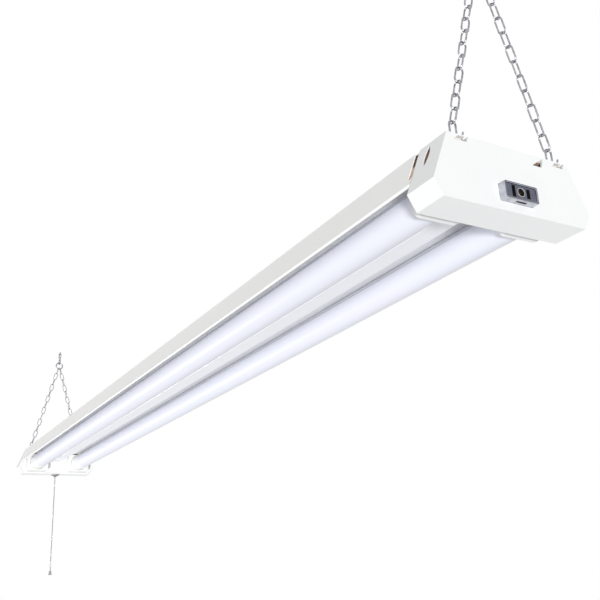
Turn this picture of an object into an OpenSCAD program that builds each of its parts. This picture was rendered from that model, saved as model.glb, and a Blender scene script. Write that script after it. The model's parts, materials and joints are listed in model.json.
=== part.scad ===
/* [Body] */
// Length of the light over its two end caps
light_l = 1219.2; // [900:0.1:1500]
// How far the flat top reaches past each tube
top_past_tube = 3.3; // [0.5:0.1:12]
// How far each side leans out from the flat top down to an end cap's waist, its widest line
side_out = 14.9; // [10:0.1:20]
// How far each side leans back in below the waist
side_in = 6.5; // [3:0.1:9]
// Room above the tubes, for the driver and the wires
head_room = 15; // [13.5:0.5:27.5]
// Height of the waist line above the bottom
waist_z = 11.4; // [8:0.1:14]
// Depth of an end cap along the light
cap_l = 27; // [25:0.5:36]
// Wall of an end cap
cap_wall = 2; // [1.5:0.1:2.4]
// Front wall of an end cap
cap_front = 1.6; // [1.4:0.1:3]
// Height of the housing's rolled lip above the bottom
lip_z = 20.4; // [18:0.1:24]
// Sheet thickness of the housing
sheet_t = 0.8; // [0.6:0.1:1]
// Sheet thickness of the reflector
reflector_t = 0.6; // [0.5:0.1:0.8]

/* [Lamp tubes] */
// Diameter of a tube
tube_d = 26; // [22:0.5:32]
// Distance between the two tubes' centres
tube_gap = 73.6; // [70:0.1:80]
// Wall of a frosted lens
lens_wall = 1; // [0.8:0.1:1.4]
// Length of the long white end sleeve that shows at the switch end
long_ferrule_l = 53; // [30:1:80]
// Length of the short end sleeve inside the holder at the outlet end
short_ferrule_l = 15; // [12:1:16]
// Light emitting chips on each board
chips = 48; // [20:1:60]
// Distance between a lamp's two contact pins
pin_gap = 12.7; // [12:0.1:13]

/* [Reflector spine] */
// Width of the spine's narrow bottom
spine_w = 16; // [12:0.5:18]
// Width of the spine where it meets the ceiling
spine_top_w = 36; // [32:0.5:40]
// Depth of the spine below the ceiling
spine_h = 13; // [11:0.5:14]

/* [Hanging chains] */
// Links in each chain leg, an odd number
links = 13; // [7:2:21]
// Outer length of a link
link_l = 14.5; // [12:0.5:18]
// Outer width of a link
link_w = 7; // [6.6:0.1:9]
// Wire diameter of a link
link_wire = 1.3; // [1.2:0.1:1.8]
// Distance between the two hanging bails of one end
bail_gap = 86; // [70:1:88]
// Wire diameter of a hanging bail
bail_wire = 1.4; // [1.2:0.1:1.8]
// Wire diameter of a ring and of an S-hook
hook_wire = 2.4; // [2:0.1:3]

/* [Outlet] */
// Width of the outlet frame
outlet_w = 29; // [27:0.5:31]
// Height of the outlet frame
outlet_h = 12.3; // [11:0.1:14]
// How far the outlet frame stands out of the cap
outlet_out = 5.5; // [4:0.5:8]
// Distance between the outlet's two flat slots
blade_gap = 12.7; // [12:0.1:13]

/* [Pull switch] */
// Pull of the switch
pull_travel = 5; // [3:0.5:5]
// Diameter of a bead of the pull chain
bead_d = 2.4; // [2:0.1:3]
// Beads on the free pull chain
beads = 50; // [20:1:80]

/* [Ceiling screws] */
// Distance between the two screw holes in the top
ceiling_hole_gap = 1000; // [600:10:1000]
// Radius of a ceiling screw hole
ceiling_hole_r = 2.5; // [2:0.1:3]

/* [Hidden] */
$fn = 48;

// Gap left between pieces that slip together
slip = 0.3;
// Amount that one cutting shape runs past a face
past = 1;

half_l = light_l / 2;
cap_in = half_l - cap_l;

// The caps and the housing stand round the tubes and their holders
tube_r = tube_d / 2;
tube_y = tube_gap / 2;
holder_wall = 3.1;
holder_lift = 1.4;
tube_z = cap_wall + holder_lift + holder_wall + tube_r;
cap_h = tube_z + tube_r + head_room;
top_w = tube_gap + tube_d + 2 * top_past_tube;
waist_w = top_w + 2 * side_out;
bottom_w = waist_w - 2 * side_in;
side_slope = side_out / (cap_h - waist_z);
side_cos = cos(atan(side_slope));
seam = 0.5;
housing_end = cap_in - seam;
tongue_inset = cap_wall + slip;
tongue_end = half_l - cap_front - seam;
roll_r = 1.3;
pry_w = 4.2;
leaf_x = cap_in + 11;
leaf_z = cap_h - 11;
leaf_h = 17;
leaf_wall = 0.8;

// Lamp tubes, in their holders
holder_w = 2 * tube_r + 11;
holder_bottom = cap_wall + holder_lift;
holder_top = tube_z + tube_r + 0.5;
holder_corner = 5;
holder_out = 11;
holder_face = cap_in - holder_out;
holder_back = half_l - 9.6;
ferrule_wall = 0.5;
ferrule_r = tube_r + 0.1 + ferrule_wall;
socket_r = ferrule_r + 0.4;
socket_depth = 18.4;
tube_end = holder_face + socket_depth - 2;
lens_in_ferrule = 5;
disc_t = 3;
lens_near = tube_end - disc_t - 0.5;
lens_far = -tube_end + long_ferrule_l - lens_in_ferrule;
pin_r = 1.17;
pin_l = 8;
shelf_z = 4.2;
shelf_t = 2.8;
lens_top = 5.5;
back_wall = 1.4;
board_t = 1.2;
board_w = 16;
chip_size = [3.5, 2.8, 0.8];
board_margin = 8;

// Reflector, under the housing
ceiling_z = tube_z + tube_r + 3.5;
reflector_inset = sheet_t + slip;
reflector_end = housing_end - sheet_t - seam;
reflector_foot = lip_z + roll_r + slip;
plate_t = 1.5;
plate_x = cap_in + 1.4;

// Driver, hung from the housing's top
inner_top = cap_h - sheet_t;
driver_l = 210;
driver_w = 22;
driver_h = 14.7;
driver_wall = 0.8;
driver_lid_t = 1;
driver_ear = 12;
driver_bottom = inner_top - driver_lid_t - driver_h;
driver_board_z = driver_bottom + driver_wall + slip;
driver_board_t = 1.6;
driver_screw_r = 1.5;

// Wires
wire_r = 1.1;
wire_low_z = ceiling_z + wire_r + 1.5;
wire_high_z = wire_low_z + 2 * wire_r + 1.4;
wire_stub = 5;
wire_drop_x = half_l - 15;
block_x = -(half_l - 130);
block_l = 20;
block_w = 26;
block_h = 9.6;
lamp_lead_y = tube_y - 7;
lamp_lead_x = half_l - 17;
earth_at = [block_x + 50, 14];

// Outlet
outlet_z = 12.7;
outlet_bezel = 1.2;
outlet_flange = 1.5;
outlet_back = half_l - cap_front - slip;
outlet_face_back = half_l - 9;
outlet_recess = 0.8;
latch_x = [half_l + 1.6, half_l + 3.3];
latch_y = [-3.3, 5.7];
slot_w = 3;
slot_h = [8.4, 6.8];
ground_r = 2.8;
contact_back = outlet_face_back + 2;
contact_t = 0.5;

// Cord inlet in the top
bushing_x = -(half_l - 70);
bushing_r = 6;
bushing_bore_r = 3.6;
bushing_down = 9.5;
bushing_up = 10.5;

// Pull switch
switch_w = 20;
switch_l = 17;
switch_x = -(plate_x + plate_t + slip + switch_l / 2);
switch_bottom = 8;
switch_top = 30;
cavity_r = 5.5;
cavity_bottom = 10;
spring_turns = 4;
spring_r = 3.6;
spring_wire_r = 0.4;
spring_pressed_h = (spring_turns + 1) * 2 * spring_wire_r;
plunger_z = cavity_bottom + spring_pressed_h + pull_travel + 1;
plunger_t = 2;
plunger_r = 5;
nipple_r = 4.75;
nipple_bore_r = 2.2;
nipple_low = -4;
rod_r = 1.2;
rod_low = nipple_low - 1.5;
bead_r = bead_d / 2;
bead_pitch = bead_d * 4 / 3;
swivel_z = rod_low - 0.5 - bead_r;
first_bead_z = swivel_z - bead_pitch;
last_bead_z = first_bead_z - (beads - 1) * bead_pitch;

// Chains: each leg runs from its bail's centre to the ring's centre
link_wire_r = link_wire / 2;
link_mid_r = (link_w - link_wire) / 2;
link_half = (link_l - link_wire) / 2;
link_play = 0.15;
link_pitch = 2 * link_half - link_wire - link_play;
bail_wire_r = bail_wire / 2;
bail_r = 2.7;
bail_y = bail_gap / 2;
bail_z = cap_h + 9.5;
bail_x = half_l - cap_front - 3;
bail_foot = 2.3;
bail_foot_z = cap_h - tongue_inset - sheet_t - bail_wire_r - 0.1;
bail_tip = [3.5, cap_h + 6 - bail_foot_z];
bail_tip_room = bail_wire_r + slip + 0.2;
hook_wire_r = hook_wire / 2;
ring_r = 6;
bail_seat = bail_wire_r + link_wire_r + slip;
ring_seat = hook_wire_r + link_wire_r + slip;
first_link = bail_r - bail_seat + link_half;
leg_l = first_link + (links - 1) * link_pitch + link_half - ring_seat + ring_r;
lean = asin(bail_y / leg_l);
ring_z = bail_z + leg_l * cos(lean);
hook_low_r = 5;
hook_high_r = 6.5;
hook_low_z = ring_z + ring_r - 2 * hook_wire_r - 0.1 + hook_low_r;
hook_high_z = hook_low_z + hook_low_r + hook_high_r;
hang_h = hook_high_z + hook_high_r - hook_wire_r;

echo(swing_top_z = ring_z - ring_r * cos(lean) - hang_h, bail_axis_z = bail_z + bail_r * cos(lean) - hang_h,
    sway_z = ring_z + ring_r - 2 * hook_wire_r - 0.1 - hang_h, hang_h = hang_h, bail_x = bail_x, lean = lean,
    swivel_z = rod_low - 0.25 - hang_h, hook_eye_z = hook_high_z - hang_h);

// ---- helpers ----

function unit(v) = v / norm(v);
function left_of(a, b) = let (d = unit(b - a)) [-d.y, d.x];
function mitre(n1, n2) = (n1 + n2) / (1 + n1 * n2);
// A bent sheet: the path and its copy a thickness to the left
function sheet_point(path, i, t) =
    let (last = len(path) - 1,
         before = left_of(path[max(i - 1, 0)], path[max(i, 1)]),
         after = left_of(path[min(i, last - 1)], path[min(i + 1, last)]))
    path[i] + t * mitre(before, after);
function sheet(path, t) =
    concat(path, [for (i = [len(path) - 1 : -1 : 0]) sheet_point(path, i, t)]);
// A closed outline drawn in by d
function shrink(path, d) =
    let (n = len(path))
    [for (i = [0 : n - 1])
        path[i] + d * mitre(left_of(path[(i + n - 1) % n], path[i]), left_of(path[i], path[(i + 1) % n]))];

// Half width of the body's sloping side at height z, drawn in by d
function side_y(z, d) = top_w / 2 + (cap_h - z) * side_slope - d / side_cos;
// The hood: up one side, over the top and down the other, drawn in by d
function hood(low, d) =
    [[-side_y(low, d), low], [-side_y(cap_h - d, d), cap_h - d],
     [side_y(cap_h - d, d), cap_h - d], [side_y(low, d), low]];
cap_outline = [[bottom_w / 2, 0], [waist_w / 2, waist_z], [top_w / 2, cap_h],
    [-top_w / 2, cap_h], [-waist_w / 2, waist_z], [-bottom_w / 2, 0]];
reflector_path = [[-side_y(reflector_foot, reflector_inset), reflector_foot],
    [-side_y(ceiling_z, reflector_inset), ceiling_z],
    [-spine_top_w / 2, ceiling_z],
    [-spine_w / 2, ceiling_z - spine_h],
    [spine_w / 2, ceiling_z - spine_h],
    [spine_top_w / 2, ceiling_z],
    [side_y(ceiling_z, reflector_inset), ceiling_z],
    [side_y(reflector_foot, reflector_inset), reflector_foot]];

// Everything is drawn from the caps' bottom and then hung below the hooks
module hung() {
    translate([0, 0, -hang_h]) children();
}
// The outlet end is e = 1, the switch end is its mirror image, e = -1
module at_end(e) {
    mirror([e < 0 ? 1 : 0, 0, 0]) children();
}
module along_x(x0, x1) {
    translate([x0, 0, 0]) rotate([90, 0, 90]) linear_extrude(x1 - x0) children();
}
module block(low, high) {
    translate(low) cube(high - low);
}
module rod(a, b, r) {
    v = b - a;
    translate(a) rotate([0, acos(v.z / norm(v)), atan2(v.y, v.x)]) cylinder(h = norm(v), r = r);
}
// One closed tube of flat sides round a path; up is a direction that the path never takes
module tube(path, r, sides, up) {
    last = len(path) - 1;
    rings = [for (i = [0 : last], k = [0 : sides - 1])
        let (ahead = unit(path[min(i + 1, last)] - path[max(i - 1, 0)]),
             across = unit(cross(up, ahead)), over = cross(ahead, across), turn = 360 * k / sides)
        path[i] + r * (cos(turn) * across + sin(turn) * over)];
    walls = [for (i = [0 : last - 1], k = [0 : sides - 1], half = [0, 1])
        let (next = (k + 1) % sides, a = i * sides + k, b = i * sides + next, c = a + sides, d = b + sides)
        half == 0 ? [a, d, b] : [a, c, d]];
    ends = [for (k = [1 : sides - 2], top = [0, 1])
        top == 0 ? [0, k, k + 1] : [last * sides, last * sides + k + 1, last * sides + k]];
    polyhedron(rings, concat(walls, ends));
}
// A wire bends in two steps at each corner of its path
module wire(path) {
    bend = 3;
    last = len(path) - 1;
    eased = concat([path[0]],
        [for (i = [1 : last - 1], side = [-1, 0, 1])
            let (to = side < 0 ? path[i - 1] : path[i + 1], away = bend * unit(to - path[i]),
                 back = bend * (unit(path[i - 1] - path[i]) + unit(path[i + 1] - path[i])) / 4)
            side == 0 ? path[i] + back : path[i] + away],
        [path[last]]);
    tube(eased, wire_r, 8, [1, 2, 1]);
}
module rounded(w, h, r) {
    square([w - 2 * r, h], center = true);
    square([w, h - 2 * r], center = true);
    for (sx = [-1, 1], sy = [-1, 1]) translate([sx * (w / 2 - r), sy * (h / 2 - r)]) circle(r);
}
// Part of a ring in the XZ plane, from angle a0 to a1
module arc(r, wire_r, a0, a1) {
    rotate([90, 0, 0]) rotate([0, 0, a0]) rotate_extrude(angle = a1 - a0) translate([r, 0]) circle(wire_r);
}

// ---- body ----

// Slot beside the cap through which it is prised off, with a round foot; it cuts the outer sheet only
module pry_slots() {
    pry_foot_r = 2.6;
    low = lip_z + 7;
    for (s = [0, 1])
        mirror([0, s, 0]) difference() {
            translate([housing_end, top_w / 2 - 2 * sheet_t, 0]) {
                block([-pry_w, 0, low], [past, waist_w / 2, cap_h + past]);
                rod([-pry_w / 2, 0, low], [-pry_w / 2, waist_w / 2, low], pry_foot_r);
            }
            along_x(housing_end - 2 * pry_w, housing_end + 2 * past) polygon(hood(lip_z, sheet_t + 0.7));
        }
}
// Leaf shaped window in each side of a cap
module leaf_windows() {
    leaf_w = 5.4;
    leaf_r = (leaf_h * leaf_h / 4 + leaf_w * leaf_w / 4) / leaf_w;
    for (s = [-1, 1])
        translate([leaf_x, s * waist_w / 2, leaf_z]) rotate([90, 0, 0])
            linear_extrude(waist_w * 0.4, center = true) intersection() {
                translate([leaf_r - leaf_w / 2, 0]) circle(leaf_r);
                translate([leaf_w / 2 - leaf_r, 0]) circle(leaf_r);
            }
}
module bail_holes() {
    for (s = [-1, 1], leg = [-1, 1])
        translate([bail_x, s * bail_y + leg * bail_r, cap_h - 6]) cylinder(h = 8, r = bail_wire_r + 0.2);
}
// Notch for the tip of each bail, which turns up again beside it
module bail_notches() {
    room = bail_tip_room;
    foot_y = bail_r + bail_foot;
    top_z = bail_tip.y + bail_foot_z;
    for (s = [-1, 1])
        along_x(bail_x - room, half_l + past) translate([s * bail_y + foot_y, 0])
            polygon([[-room, bail_foot_z], [room, bail_foot_z],
                     [bail_tip.x + room, top_z], [bail_tip.x - room, top_z]]);
}
module housing() {
    color("white") hung() {
        difference() {
            union() {
                along_x(-housing_end, housing_end) polygon(sheet(hood(lip_z, 0), -sheet_t));
                for (s = [-1, 1])
                    translate([0, s * (side_y(lip_z, 0) - roll_r + 0.2), lip_z]) rotate([0, 90, 0])
                        cylinder(h = 2 * housing_end, r = roll_r, center = true);
                for (e = [-1, 1]) at_end(e) {
                    along_x(housing_end - sheet_t, housing_end)
                        polygon(sheet(hood(lip_z, 0), -tongue_inset - sheet_t));
                    along_x(housing_end - sheet_t, tongue_end)
                        polygon(sheet(hood(lip_z, tongue_inset), -sheet_t));
                    along_x(housing_end - pry_w - 2, housing_end)
                        polygon(sheet(hood(ceiling_z + 1, tongue_inset), -sheet_t));
                }
            }
            for (e = [-1, 1]) at_end(e) {
                pry_slots();
                bail_holes();
                bail_notches();
            }
            for (x = [-1, 1] * ceiling_hole_gap / 2)
                translate([x, 0, cap_h - 3]) cylinder(h = 5, r = ceiling_hole_r);
            for (x = [-1, 1] * (driver_l + driver_ear) / 2)
                translate([x, 0, cap_h - 3]) cylinder(h = 5, r = driver_screw_r + 0.1);
            translate([earth_at.x, earth_at.y, cap_h - 3]) cylinder(h = 5, r = 2);
            translate([bushing_x, 0, cap_h - 3]) cylinder(h = 5, r = bushing_r + 0.2);
        }
    }
}
module reflector() {
    color("gainsboro") hung()
        along_x(-reflector_end, reflector_end) polygon(sheet(reflector_path, -reflector_t));
}
module cap_shell() {
    difference() {
        along_x(cap_in, half_l) polygon(cap_outline);
        along_x(cap_in - past, half_l - cap_front) polygon(shrink(cap_outline, cap_wall));
        // The wall is thinner round the leaf window
        along_x(leaf_x - 6, leaf_x + 6) intersection() {
            polygon(shrink(cap_outline, leaf_wall));
            translate([-waist_w / 2, leaf_z - leaf_h / 2 - 1]) square([waist_w, leaf_h + 1]);
        }
        leaf_windows();
        bail_holes();
        bail_notches();
        front_windows();
    }
}
// Windows at the top of the front wall: one under each bail, and a triangular one beside the right bail
module front_windows() {
    low = cap_h - 4.3;
    high = cap_h - 1;
    along_x(bail_x + bail_tip_room, half_l + past) {
        for (s = [-1, 1])
            translate([s * bail_y, 0]) polygon([[-4.2, low], [6.4, low], [6.4, high], [-0.8, high]]);
        translate([bail_y, cap_h]) polygon([[-23, -7.8], [-14.6, -7.8], [-12.5, -1.2], [-13.5, -1.2]]);
    }
}
module end_cap_outlet() {
    color("white") hung() difference() {
        cap_shell();
        along_x(half_l - cap_front - past, half_l + past)
            translate([0, outlet_z]) rounded(outlet_w + slip, outlet_h + slip, 1.6);
    }
}
module end_cap_switch() {
    color("white") hung() difference() {
        at_end(-1) cap_shell();
        translate([switch_x, 0, -past]) cylinder(h = cap_wall + 2 * past, r = nipple_r + 0.2);
    }
}
// Plate that closes a cap's open side around the lamp holders
module end_plate(e) {
    color("white") hung() at_end(e) difference() {
        along_x(plate_x, plate_x + plate_t) difference() {
            union() {
                intersection() {
                    polygon(shrink(cap_outline, cap_wall + 0.2));
                    translate([-waist_w / 2, 0]) square([waist_w, lip_z - slip]);
                }
                polygon(shrink(cap_outline, tongue_inset + sheet_t + slip));
            }
            for (s = [-1, 1]) {
                translate([s * tube_y, (holder_bottom + holder_top) / 2])
                    rounded(holder_w + 0.4, holder_top - holder_bottom + 0.4, holder_corner);
                translate([s * lamp_lead_y, wire_high_z]) circle(wire_r + 0.4);
            }
            translate([-5.5, wire_low_z]) square([37, 7], center = true);
        }
    }
}

// ---- lamps ----

module at_tube(s) {
    translate([0, s * tube_y, tube_z]) children();
}
module lampholder(e, s) {
    color("white") hung() at_end(e) difference() {
        along_x(holder_face, holder_back) translate([s * tube_y, (holder_bottom + holder_top) / 2])
            rounded(holder_w, holder_top - holder_bottom, holder_corner);
        at_tube(s) translate([holder_face - past, 0, 0]) rotate([0, 90, 0])
            cylinder(h = socket_depth + past, r = socket_r);
        at_tube(s) for (z = [-1, 1] * pin_gap / 2)
            block([holder_face, -2.5, z - 2.4], [holder_back - 1.4, 2.5, z + 2.4]);
    }
}
// Two spring leaves grip each pin
module lampholder_contacts() {
    leaf_t = 0.5;
    leaf_front = holder_face + socket_depth + 0.3;
    color("goldenrod") hung()
        for (e = [-1, 1], s = [-1, 1], z = [-1, 1] * pin_gap / 2, side = [-1, 1])
            at_end(e) at_tube(s) translate([0, side * (pin_r + 0.1 + leaf_t / 2), z])
                block([leaf_front, -leaf_t / 2, -2], [holder_back - 1.6, leaf_t / 2, 2]);
}
module tube_lens(s) {
    color("aliceblue") hung() at_tube(s) difference() {
        translate([lens_far, 0, 0]) rotate([0, 90, 0]) cylinder(h = lens_near - lens_far, r = tube_r);
        translate([lens_far - past, 0, 0]) rotate([0, 90, 0])
            cylinder(h = lens_near - lens_far + 2 * past, r = tube_r - lens_wall);
        block([lens_far - past, -tube_d, lens_top], [lens_near + past, tube_d, tube_d]);
    }
}
// Aluminium back of a tube, with the flat shelf that carries the board
module tube_spine(s) {
    color("lightgray") hung() at_tube(s) {
        difference() {
            translate([lens_far, 0, 0]) rotate([0, 90, 0]) cylinder(h = lens_near - lens_far, r = tube_r);
            translate([lens_far - past, 0, 0]) rotate([0, 90, 0])
                cylinder(h = lens_near - lens_far + 2 * past, r = tube_r - back_wall);
            block([lens_far - past, -tube_d, -tube_d], [lens_near + past, tube_d, lens_top + slip]);
        }
        shelf_y = tube_r - 2.7;
        block([lens_far, -shelf_y, shelf_z], [lens_near, shelf_y, shelf_z + shelf_t]);
    }
}
module led_board(s) {
    color("ivory") hung() at_tube(s)
        block([lens_far + board_margin, -board_w / 2, shelf_z - board_t],
              [lens_near - board_margin, board_w / 2, shelf_z]);
}
module led_chips(s) {
    row_l = lens_near - lens_far - 4 * board_margin;
    color("gold") hung() at_tube(s)
        for (i = [0 : chips - 1])
            translate([lens_far + 2 * board_margin + i * row_l / (chips - 1) - chip_size.x / 2,
                       -chip_size.y / 2, shelf_z - board_t - chip_size.z]) cube(chip_size);
}
module ferrule(length) {
    difference() {
        cylinder(h = length, r = ferrule_r);
        translate([0, 0, disc_t]) cylinder(h = length, r = ferrule_r - ferrule_wall);
    }
}
module tube_ferrules(s) {
    color("white") hung() at_tube(s) {
        translate([tube_end, 0, 0]) rotate([0, -90, 0]) ferrule(short_ferrule_l);
        translate([-tube_end, 0, 0]) rotate([0, 90, 0]) ferrule(long_ferrule_l);
    }
}
module tube_pins(s) {
    color("silver") hung() at_tube(s)
        for (e = [-1, 1], z = [-1, 1] * pin_gap / 2) at_end(e)
            rod([tube_end, 0, z], [tube_end + pin_l, 0, z], pin_r);
}

// ---- driver and wiring ----

module driver_case() {
    half = [driver_l / 2, driver_w / 2];
    inner = [half.x - driver_wall, half.y - driver_wall];
    color("lightgray") hung() difference() {
        block([-half.x, -half.y, driver_bottom], [half.x, half.y, inner_top - driver_lid_t]);
        block([-inner.x, -inner.y, driver_bottom + driver_wall], [inner.x, inner.y, inner_top]);
    }
}
module driver_lid() {
    lid_half = driver_l / 2 + driver_ear;
    color("silver") hung() difference() {
        block([-lid_half, -driver_w / 2, inner_top - driver_lid_t], [lid_half, driver_w / 2, inner_top]);
        for (x = [-1, 1] * (driver_l + driver_ear) / 2)
            translate([x, 0, inner_top - 2]) cylinder(h = 4, r = driver_screw_r + 0.1);
    }
}
module driver_board() {
    color("seagreen") hung()
        block([-driver_l / 2 + 4, -driver_w / 2 + 1.2, driver_board_z],
              [driver_l / 2 - 4, driver_w / 2 - 1.2, driver_board_z + driver_board_t]);
}
// Transformer, choke, fuse and capacitors on the driver's board
module driver_parts() {
    z = driver_board_z + driver_board_t;
    color("dimgray") hung() {
        translate([-6, 0, z]) block([-11, -8, 0], [11, 8, 9.5]);
        translate([42, 0, z]) block([-7, -6, 0], [7, 6, 8]);
        for (x = [18, 68]) rod([x, 0, z + 4.5], [x + 16, 0, z + 4.5], 4.5);
        rod([-50, -3, z + 2.6], [-30, -3, z + 2.6], 2.6);
        for (x = [-86, -74, -62]) translate([x, 0, z]) cylinder(h = 8, r = 4);
    }
}
module driver_screws() {
    color("silver") hung()
        for (x = [-1, 1] * (driver_l + driver_ear) / 2) translate([x, 0, inner_top - driver_lid_t]) {
            translate([0, 0, -2]) cylinder(h = 2, r = 3);
            translate([0, 0, -1]) cylinder(h = driver_lid_t + 1 + sheet_t, r = driver_screw_r);
        }
}
module terminal_block() {
    color("ivory") hung() difference() {
        block([block_x, -block_w / 2, inner_top - block_h], [block_x + block_l, block_w / 2, inner_top]);
        for (y = [-8, 0, 8])
            translate([block_x + block_l / 2, y, inner_top - block_h - past]) cylinder(h = 4, r = 2);
    }
}
// A mains wire from the terminal block past the driver to the back of the outlet
module mains_wire(y_block, y_run, y_outlet) {
    wire([[block_x + block_l, y_block, wire_low_z],
        [block_x + block_l + wire_stub, y_block, wire_low_z],
        [block_x + block_l + 25, y_run, wire_low_z],
        [wire_drop_x - 25, y_run, wire_low_z],
        [wire_drop_x, y_outlet, wire_low_z],
        [wire_drop_x, y_outlet, outlet_z + 1.5],
        [outlet_face_back, y_outlet, outlet_z + 1.5]]);
}
module wire_live() {
    color("black") hung() mains_wire(-10, -21, -blade_gap / 2);
}
module wire_neutral() {
    color("white") hung() mains_wire(-2, -14, blade_gap / 2);
}
module wire_earth() {
    color("green") hung() {
        mains_wire(-6, -17.5, 0);
        wire([[block_x + block_l, 11, wire_high_z],
            [block_x + block_l + wire_stub, 11, wire_high_z],
            [earth_at.x - 10, earth_at.y, inner_top - 1.9],
            [earth_at.x - 3.4, earth_at.y, inner_top - 1.9]]);
    }
}
module switch_leads() {
    color("black") hung() for (i = [0, 1])
        wire([[block_x, 7.8 + 3.2 * i, wire_low_z],
            [wire_stub - plate_x, 7.8 + 3.2 * i, wire_low_z],
            [switch_x + 3 - 6 * i, 3 + 4 * i, wire_low_z],
            [switch_x + 3 - 6 * i, 3 + 4 * i, switch_top]]);
}
module driver_leads() {
    color("red") hung() for (y = [3, 7])
        wire([[block_x + block_l, y, wire_high_z], [-driver_l / 2, y, wire_high_z]]);
}
module lamp_leads() {
    color("gold") hung() for (e = [-1, 1], s = [-1, 1]) at_end(e)
        wire([[driver_l / 2 - 12, s * driver_w / 2, wire_high_z],
            [driver_l / 2 - 12, s * (driver_w / 2 + wire_stub), wire_high_z],
            [driver_l / 2 + 10, s * lamp_lead_y, wire_high_z],
            [lamp_lead_x, s * lamp_lead_y, wire_high_z],
            [lamp_lead_x, s * lamp_lead_y, holder_top]]);
}
module earth_screw() {
    color("gold") hung() translate([earth_at.x, earth_at.y, 0]) {
        translate([0, 0, inner_top - 2.8]) cylinder(h = 2, r = 3.2);
        translate([0, 0, inner_top - 0.8]) cylinder(h = 0.8, r = 4);
        translate([0, 0, inner_top - 1]) cylinder(h = 1 + sheet_t, r = 1.9);
    }
}

// ---- outlet, cord inlet and pull switch ----

module outlet_frame() {
    color("silver") hung() difference() {
        union() {
            along_x(outlet_back - outlet_flange, half_l + outlet_out)
                translate([0, outlet_z]) rounded(outlet_w, outlet_h, 1.5);
            along_x(outlet_back - outlet_flange, outlet_back)
                translate([0, outlet_z]) rounded(outlet_w + 3, outlet_h + 3, 1.5);
        }
        along_x(outlet_back - outlet_flange - past, half_l + outlet_out + past)
            translate([0, outlet_z]) rounded(outlet_w - 2 * outlet_bezel, outlet_h - 2 * outlet_bezel, 1);
        // Window of the latch, in the bottom
        translate([0, 0, outlet_z - outlet_h / 2])
            block([latch_x[0], latch_y[0], -past], [latch_x[1], latch_y[1], outlet_bezel + past]);
    }
}
module outlet_face() {
    front = half_l + outlet_out - outlet_recess;
    color("gray") hung() difference() {
        along_x(outlet_face_back, front) translate([0, outlet_z])
            rounded(outlet_w - 2 * outlet_bezel - 0.2, outlet_h - 2 * outlet_bezel - 0.2, 0.9);
        for (i = [0, 1])
            translate([0, (2 * i - 1) * blade_gap / 2, outlet_z])
                block([contact_back, -slot_w / 2, -slot_h[i] / 2],
                      [front + past, slot_w / 2, slot_h[i] / 2]);
        rod([contact_back, 0, outlet_z], [front + past, 0, outlet_z], ground_r);
    }
}
module outlet_contacts() {
    front = half_l + outlet_out - outlet_recess - 3;
    color("goldenrod") hung() {
        for (i = [0, 1])
            translate([0, (2 * i - 1) * blade_gap / 2, outlet_z])
                block([contact_back, -slot_w / 2, -slot_h[i] / 2 + 0.5],
                      [front, contact_t - slot_w / 2, slot_h[i] / 2 - 0.5]);
        difference() {
            rod([contact_back, 0, outlet_z], [front, 0, outlet_z], ground_r);
            rod([contact_back + 1, 0, outlet_z], [front + past, 0, outlet_z], ground_r - contact_t);
        }
    }
}
// Strain relief bushing through the top for the supply cord
module cord_bushing() {
    color("dimgray") hung() translate([bushing_x, 0, 0]) difference() {
        union() {
            translate([0, 0, cap_h - bushing_down]) cylinder(h = bushing_down, r = bushing_r);
            translate([0, 0, cap_h]) cylinder(h = 2, r = bushing_r + 3);
            translate([0, 0, cap_h + 2]) cylinder(h = bushing_up - 2, r1 = bushing_r, r2 = bushing_r - 1);
        }
        translate([0, 0, cap_h - bushing_down - past])
            cylinder(h = bushing_down + bushing_up + 2 * past, r = bushing_bore_r);
    }
}
module bushing_nut() {
    color("dimgray") hung() translate([bushing_x, 0, inner_top - 3]) difference() {
        cylinder(h = 3, r = 9, $fn = 6);
        translate([0, 0, -past]) cylinder(h = 3 + 2 * past, r = bushing_r + 0.1);
    }
}
module switch_case() {
    color("dimgray") hung() translate([switch_x, 0, 0]) difference() {
        block([-switch_l / 2, -switch_w / 2, switch_bottom], [switch_l / 2, switch_w / 2, switch_top]);
        translate([0, 0, cavity_bottom]) cylinder(h = switch_top - cavity_bottom - 2, r = cavity_r);
        translate([0, 0, switch_bottom - past]) cylinder(h = 4, r = nipple_r + 0.1);
    }
}
module switch_nipple() {
    nipple_h = cavity_bottom - nipple_low;
    mouth_h = 1.6;
    color("silver") hung() translate([switch_x, 0, nipple_low]) difference() {
        cylinder(h = nipple_h, r = nipple_r);
        translate([0, 0, -past]) cylinder(h = nipple_h + 2 * past, r = nipple_bore_r);
        translate([0, 0, -0.01]) cylinder(h = mouth_h, r1 = nipple_bore_r + 1.4, r2 = nipple_bore_r);
    }
}
module switch_nut() {
    color("silver") hung() translate([switch_x, 0, -2.5]) difference() {
        cylinder(h = 2.4, r = 7.2, $fn = 6);
        translate([0, 0, -past]) cylinder(h = 2.4 + 2 * past, r = nipple_r + 0.1);
    }
}
module switch_plunger() {
    color("silver") hung() translate([switch_x, 0, 0]) {
        translate([0, 0, plunger_z]) cylinder(h = plunger_t, r = plunger_r);
        translate([0, 0, rod_low]) cylinder(h = plunger_z - rod_low + 1, r = rod_r);
    }
}
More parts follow.
